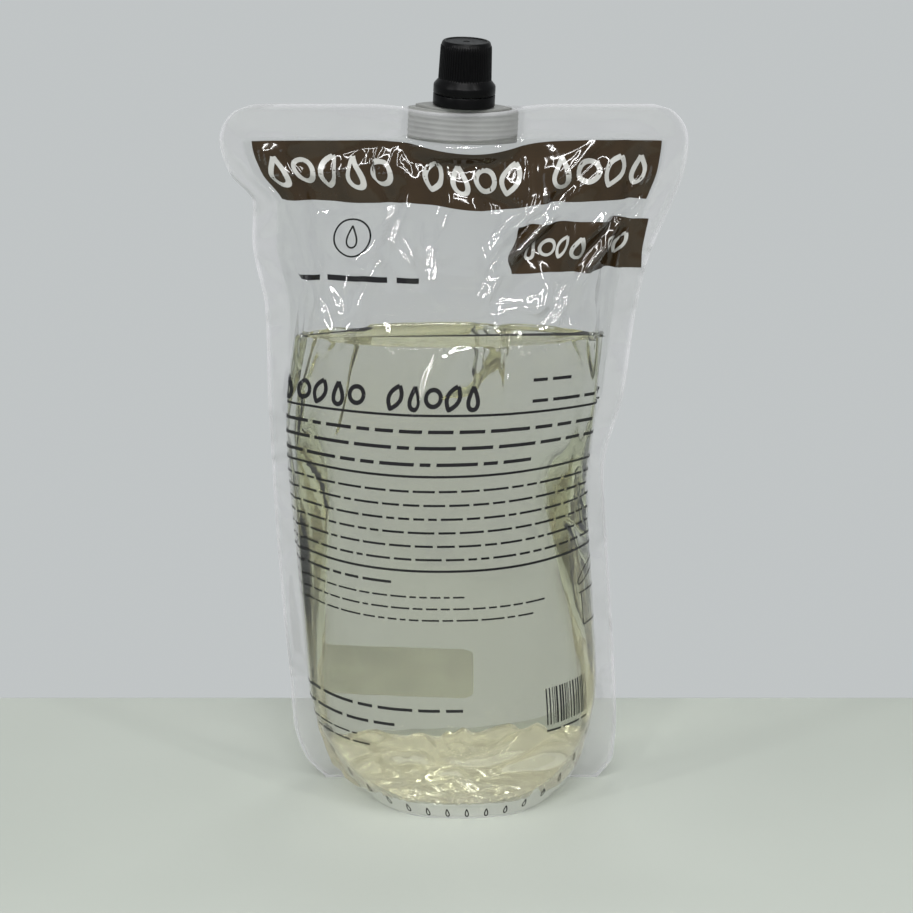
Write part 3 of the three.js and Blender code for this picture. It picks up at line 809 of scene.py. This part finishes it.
def make_print():
    """Brown fields, black rules and dashes, and pale shapes on the brown."""
    random = np.random.default_rng(12)
    brown, black, pale = Ink(), Ink(), Ink(out=0.34)
    brown.bar(-74, 76, 236.5, 258.5)
    brown.bar(25, 80, 210, 229, lean=-4)
    pale.row_of_shapes(-72, 74, 247.5, 10.5, 1.8, (5, 4, 4))
    pale.row_of_shapes(29, 76, 219.5, 7.6, 1.3, (4, 2))
    # An emblem of a drop in a ring, with a line of dashes under it.
    black.ring(-43.5, 223, 20, 0.7)
    black.drop(-43.5, 223.5, 8.5, 0.7)
    black.line_of_dashes(-70, -14, 207.5, 5.2, random)
    black.row_of_shapes(-74, 15, 165, 8.4, 1.7, (5, 5))
    black.line_of_dashes(36, 58, 170.5, 3.0, random)
    black.line_of_dashes(36, 76, 162.8, 3.0, random)
    for v in (158.8, 137, 102):
        black.bar(-76, 77, v - 0.45, v + 0.45)
    for v, end in ((153, 66), (147.2, 70), (141.3, 44)):
        black.line_of_dashes(-75, end, v, 3.2, random)
    for k in range(6):
        black.line_of_dashes(-75, 76, 131.6 - 5.05 * k, 2.1, random)
    black.line_of_dashes(-72, -20, 97.3, 2.5, random)
    for v, end in ((92, 8), (87.5, 41), (83, 35)):
        black.line_of_dashes(-72, end, v, 1.7, random)
    # An open jar: how long the contents keep.
    black.bar(62, 75, 71, 71.6)
    black.bar(62, 62.5, 71, 84)
    black.bar(74.5, 75, 71, 84)
    black.bar(61, 76, 84, 84.7)
    turn = np.linspace(0, 2 * math.pi, 25)
    black.outline(68 + 7.5 * np.cos(turn), 92 + 2.2 * np.sin(turn) + 3.5 * np.cos(turn), 0.5)
    for v, end, height in ((46.5, 6, 3.0), (40, -22, 3.0), (33.5, -35, 1.7), (30, -30, 1.7)):
        black.line_of_dashes(-70, end, v, height, random)
    # Plain bars, and dashes under them.
    u = 37.0
    while u < 60:
        width = random.choice((0.35, 0.6, 0.9))
        black.bar(u, u + width, 37, 52)
        u += width + random.choice((0.4, 0.6, 0.9))
    black.line_of_dashes(37, 60, 34.6, 2.0, random)
    # Small marks all along the bottom seal.
    for k in range(15):
        u = -60 + 9 * k
        black.drop(u, seal_height(u) - 3.3, 3.2, 0.55)
    brown.piece("print_brown", BROWN_INK)
    black.piece("print_black", BLACK_INK)
    pale.piece("print_pale", PALE_INK)


def make_label():
    """A sticker with rounded corners low on the back web, with a few faint lines."""
    left, right, low, high, corner = -57, 6, 28, 48, 2.5
    paper, lines = Ink(side=1, out=0.2), Ink(side=1, out=0.3)
    s, t = np.meshgrid(np.linspace(0, 1, 40), np.linspace(0, 1, 17))
    v = low + (high - low) * t
    near = np.clip(corner - np.minimum(v - low, high - v), 0, corner)
    cut = corner - np.sqrt(corner**2 - near**2)
    u = left + cut + (right - left - 2 * cut) * s
    paper.patch(u, v + 0.06 * (left - u + 30))  # stuck on a little crooked
    random = np.random.default_rng(4)
    lines.line_of_dashes(left + 8, right - 10, 41, 3.0, random)
    lines.line_of_dashes(left + 8, right - 24, 35, 3.0, random)
    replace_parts(paper.piece("label_sticker", LABEL, "label_film"), "batch_label")
    lines.piece("label_lines", LABEL_INK, "label_film")


# ---- Spout, tamper band and cap, in a frame that leans with the spout ----
def to_pouch(points):
    """From the closure's own frame to the pouch's."""
    p = np.asarray(points, float)
    c, s = math.cos(SPOUT_LEAN), math.sin(SPOUT_LEAN)
    x = p[..., 0] * c + p[..., 2] * s + SPOUT_FOOT[0]
    z = p[..., 2] * c - p[..., 0] * s + SPOUT_FOOT[1]
    return np.stack([x, p[..., 1] + PACK_Y, z], -1)


def wrapped_faces(rings, around):
    """Faces of a closed band of rings: the last ring joins the first."""
    j, i = np.meshgrid(np.arange(rings), np.arange(around), indexing="ij")
    j1, i1 = (j + 1) % rings, (i + 1) % around
    quads = np.stack([j * around + i, j * around + i1, j1 * around + i1, j1 * around + i], -1)
    return quads.reshape(-1, 4)


def turned(profile, segments, ripple=None):
    """A round solid whose closed profile is (radius, height); ripple(turn, radius, height) moves it."""
    profile = np.array(profile, float)
    turn = np.linspace(0, 2 * math.pi, segments, endpoint=False)
    radius = np.repeat(profile[:, :1], segments, 1)
    height = np.repeat(profile[:, 1:], segments, 1)
    if ripple:
        radius = radius + ripple(turn[None], radius, height)
    points = np.stack([radius * np.cos(turn), radius * np.sin(turn), height], -1)
    return points.reshape(-1, 3), wrapped_faces(len(profile), segments)


def eased(profile, ease=0.12):
    """The profile with each corner cut by a small chamfer, so that edges catch the light."""
    points = [np.array(p, float) for p in profile]
    out = []
    for k, corner in enumerate(points):
        for other in (points[k - 1], points[(k + 1) % len(points)]):
            reach = np.linalg.norm(other - corner)
            out.append(corner + (other - corner) * min(0.45, ease / max(reach, 1e-6)))
    return out


def boat_solid(half_length, half_depth, levels, around=120):
    """A boat-shaped block with a round bore. levels are (height, how far it stands proud)."""
    turn = np.linspace(0, 2 * math.pi, around, endpoint=False)
    x = np.cos(turn)
    y = np.sign(np.sin(turn)) * boat_half_depth(x, 1, half_depth)
    rings = []
    for height, proud in levels:
        outline = x * (half_length + proud), y * (half_depth + proud) / half_depth
        rings.append(np.column_stack([*outline, np.full(around, height)]))
    for height in (levels[-1][0], levels[0][0]):
        circle = BORE * np.cos(turn), BORE * np.sin(turn)
        rings.append(np.column_stack([*circle, np.full(around, height)]))
    return np.concatenate(rings), wrapped_faces(len(rings), around)


def thread_solid(start, root, crest, foot, top, lead):
    """One start of a screw thread: a ridge that winds up the neck and fades out at its ends."""
    steps = 90
    t = np.linspace(0, 1, steps)
    height = foot + (top - foot) * t
    turn = start + 2 * math.pi * height / lead
    swell = smooth(t, 0, 0.12) * smooth(1 - t, 0, 0.12)
    rings = []
    for on_crest, drop in ((False, 0.95), (True, 0.4), (True, -0.4), (False, -0.95)):
        r = root + (crest - root) * swell if on_crest else np.full(steps, root - 0.15)
        rings.append(np.stack([r * np.cos(turn), r * np.sin(turn), height - drop], -1))
    points = np.array(rings).transpose(1, 0, 2).reshape(-1, 3)
    faces = [(j * 4 + i, j * 4 + (i + 1) % 4, j * 4 + 4 + (i + 1) % 4, j * 4 + 4 + i)
             for j in range(steps - 1) for i in range(4)]
    faces += [(3, 2, 1, 0), tuple(4 * (steps - 1) + k for k in range(4))]
    return points, faces


def joined(parts):
    """Several (points, faces) as one."""
    points, faces, first = [], [], 0
    for p, f in parts:
        points.append(np.asarray(p))
        faces.extend([[int(v) + first for v in face] for face in f])
        first += len(p)
    return np.concatenate(points), faces


def make_spout():
    """The ribbed foot, the plate over it, and the neck with its bead and three threads."""
    levels = [(0, -0.4), (0.35, 0)]
    for k in range(6):
        foot = 0.9 + k * 1.85
        levels += [(foot, 0), (foot + 0.3, 0.18), (foot + 0.7, 0.18), (foot + 1.0, 0)]
    levels += [(11.9, 0), (12.05, -0.15)]
    boat = boat_solid(BOAT_HALF, 7.6, levels)
    plate = boat_solid(17.5, 8.2, [(12.05, -0.2), (12.2, 0), (12.85, 0), (13.0, -0.15)])
    neck = turned(
        eased([(BORE, 12.5), (8.6, 12.5), (8.6, 15.2), (9.6, 15.5), (9.6, 16.3), (8.6, 17.2),
               (NECK, 17.8), (NECK, 34.1), (7.2, 34.3), (5.8, 34.3), (BORE, 34.1)]), 96)
    threads = [thread_solid(2 * math.pi * k / 3, NECK, 8.3, 19.4, 31.5, 10) for k in range(3)]
    points, faces = joined([boat, plate, neck, *threads])
    piece = add_mesh("spout_fitment", to_pouch(points), faces, NATURAL_PLASTIC)
    sharpen(piece)
    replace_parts(piece, "spout")


def sharpen(piece, degrees=35):
    """Smooth shading that still breaks at sharp edges."""
    mesh = piece.data
    bm = bmesh.new()
    bm.from_mesh(mesh)
    bmesh.ops.recalc_face_normals(bm, faces=bm.faces)
    for edge in bm.edges:
        edge.smooth = edge.calc_face_angle(0) < math.radians(degrees)
    bm.to_mesh(mesh)
    bm.free()


def make_band():
    """The tamper band, free of the cap and held under the neck's bead."""
    ring = turned(
        eased([(9.3, 13.4), (11.1, 13.4), (11.3, 13.7), (11.3, 17.25), (11.15, 17.4), (10.15, 17.4),
               (10.15, 15.35), (9.15, 14.9)], 0.06), 144)
    # Stubs of the bridges that held the band to the cap.
    stubs = []
    for k in range(10):
        turn = 2 * math.pi * (k + 0.5) / 10
        corners = []
        for height in (17.3, 17.62):
            for radius, off in ((10.3, -0.055), (11.15, -0.05), (11.15, 0.05), (10.3, 0.055)):
                corners.append((radius * math.cos(turn + off), radius * math.sin(turn + off), height))
        sides = [(k, k + 4, (k + 1) % 4 + 4, (k + 1) % 4) for k in range(4)]
        stubs.append((corners, [(0, 1, 2, 3), (7, 6, 5, 4), *sides]))
    points, faces = joined([ring, *stubs])
    points = to_pouch(points)
    piece = add_mesh("tamper_ring_band", points, faces, BLACK_PLASTIC, "tamper_ring")
    sharpen(piece)
    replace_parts(piece, "tamper_band")


def make_cap():
    """The cap: flared skirt, ribbed cone, recessed top with a gate mark, and a plug inside."""
    ribs, foot, top = 60, 23.0, 36.7
    ceiling, plug = top - 1.6, top - 4.6
    outside = [(10.15, 17.8), (11.2, 17.8), (11.3, 17.95), (11.3, 20.4), (11.15, 20.9)]
    outside += [(9.75, 22.6), (9.62, 22.85), (9.55, 23.1), (9.53, 23.6)]
    outside += [(9.53 - 0.36 * t, 23.6 + 11.2 * t) for t in np.linspace(0.1, 1, 8)]
    outside += [(9.05, 35.3), (8.75, 36.2), (8.45, 36.55), (8.15, 36.7)]
    outside += [(7.6, 36.7), (7.45, 36.62), (7.35, 36.4)]
    outside += [(1.3, 36.4), (1.1, 36.2), (0.5, 36.05), (0.02, 36.05)]
    inside = [(0.02, ceiling), (4.2, ceiling), (4.3, plug), (4.9, plug), (5.2, plug + 0.6), (5.2, ceiling)]
    inside += [(8.65, ceiling), (8.65, 22.2), (10.15, 21.0)]

    def ripple(turn, radius, height):
        """Ribs all round the grip, each with a flat crest."""
        on_grip = smooth(height, foot - 0.2, foot + 0.1) * smooth(top - 1.5 - height, 0, 0.6)
        on_grip = on_grip * smooth(radius, 8.95, 9.1)
        wave = np.clip(1.6 * np.cos(ribs * turn), -1, 1)
        return on_grip * 0.16 * wave

    points, faces = turned(outside + inside, ribs * 6, ripple)
    piece = add_mesh("screw_cap_shell", to_pouch(points), faces, BLACK_PLASTIC, "screw_cap")
    sharpen(piece, 40)
    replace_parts(piece, "cap")


make_print()
make_label()
make_spout()
make_band()
make_cap()


# ---- Floor, light and camera ----
LIT_SPOT = (0, 0, 130)  # where every light points


def make_stage():
    """A pale table top. Beyond its back edge there is only the pale wall, which is the world."""
    back, edge, reach = 79, 4, 1500
    profile = [(-reach, 0)]
    for k in range(9):
        turn = math.pi / 2 * k / 8
        profile.append((back + edge * math.sin(turn), edge * (math.cos(turn) - 1)))
    profile.append((back + edge, -900))
    points = [(x, y, z) for y, z in profile for x in (-reach, reach)]
    faces = [(2 * k, 2 * k + 1, 2 * k + 3, 2 * k + 2) for k in range(len(profile) - 1)]
    mesh = bpy.data.meshes.new("table_top")
    mesh.from_pydata((np.array(points, float) * MM).tolist(), [], faces)
    mesh.polygons.foreach_set("use_smooth", [True] * len(mesh.polygons))
    made, tree, output = material("table_top")
    surface = node(tree, "BsdfPrincipled", Roughness=0.55)
    tint = ramp(tree, noise_of(tree, 4, 3), (0.3, (0.28, 0.3, 0.27)), (0.7, (0.31, 0.33, 0.3)))
    tree.links.new(tint, surface.inputs["Base Color"])
    tree.links.new(bump(tree, noise_of(tree, 900, 3), 0.08, 0.0002), surface.inputs["Normal"])
    tree.links.new(surface.outputs[0], output.inputs["Surface"])
    mesh.materials.append(made)
    table = bpy.data.objects.new("table_top", mesh)
    scene.collection.objects.link(table)


def add_light(name, place, width, power, height):
    """A rectangular light. Its place and size are in millimetres."""
    light = bpy.data.lights.new(name, "AREA")
    light.energy = power
    light.shape = "RECTANGLE"
    light.size = width * MM
    light.size_y = height * MM
    lamp = bpy.data.objects.new(name, light)
    scene.collection.objects.link(lamp)
    lamp.location = Vector(place) * MM
    toward = (Vector(LIT_SPOT) - Vector(place)).normalized()
    lamp.rotation_mode = "QUATERNION"
    lamp.rotation_quaternion = toward.to_track_quat("-Z", "Y")


def make_world():
    """A pale wall behind the object, and a dimmer room in front of it."""
    world = bpy.data.worlds.new("studio")
    scene.world = world
    world.use_nodes = True
    tree = world.node_tree
    background = tree.nodes["Background"]
    where = node(tree, "TexCoord")
    parts = node(tree, "SeparateXYZ")
    tree.links.new(where.outputs["Generated"], parts.inputs[0])
    behind = node(tree, "MapRange", From_Min=-0.35, From_Max=0.25)
    tree.links.new(parts.outputs["Y"], behind.inputs["Value"])
    wall = ramp(tree, parts.outputs["Z"], (0.0, (0.53, 0.555, 0.56)), (0.25, (0.46, 0.48, 0.49)))
    mix = tree.nodes.new("ShaderNodeMix")
    mix.data_type = "RGBA"
    mix.inputs["A"].default_value = (0.44, 0.45, 0.45, 1)
    tree.links.new(behind.outputs["Result"], mix.inputs["Factor"])
    tree.links.new(wall, mix.inputs["B"])
    tree.links.new(mix.outputs["Result"], background.inputs["Color"])


def make_lights():
    """Narrow strips, so that each fold of the film catches a thin bright line."""
    add_light("strip_front", (-420, -1000, 1250), 45, 7, 900)
    add_light("strip_middle", (120, -1050, 1250), 45, 6, 900)
    add_light("strip_left", (-1000, -700, 900), 45, 7, 700)
    add_light("strip_right", (900, -800, 1050), 45, 6, 700)
    add_light("strip_level", (100, -1150, 900), 900, 8, 40)
    add_light("strip_high", (150, -500, 1500), 600, 7, 60)
    add_light("back_soft", (100, 500, 1400), 300, 4, 200)


def make_camera():
    """A long lens from a little above, as the object is usually pictured."""
    pitch = math.radians(18.0)
    data = bpy.data.cameras.new("camera")
    data.sensor_width = 36
    data.lens = 114.35
    camera = bpy.data.objects.new("camera", data)
    scene.collection.objects.link(camera)
    camera.location = (0.95 * MM, -1043 * MM, 471 * MM)
    camera.rotation_euler = (math.pi / 2 - pitch, 0, 0)
    scene.camera = camera


make_stage()
make_world()
make_lights()
make_camera()
scene.view_settings.view_transform = "Standard"
scene.cycles.transparent_max_bounces = 24
scene.cycles.transmission_bounces = 14
scene.cycles.max_bounces = 16
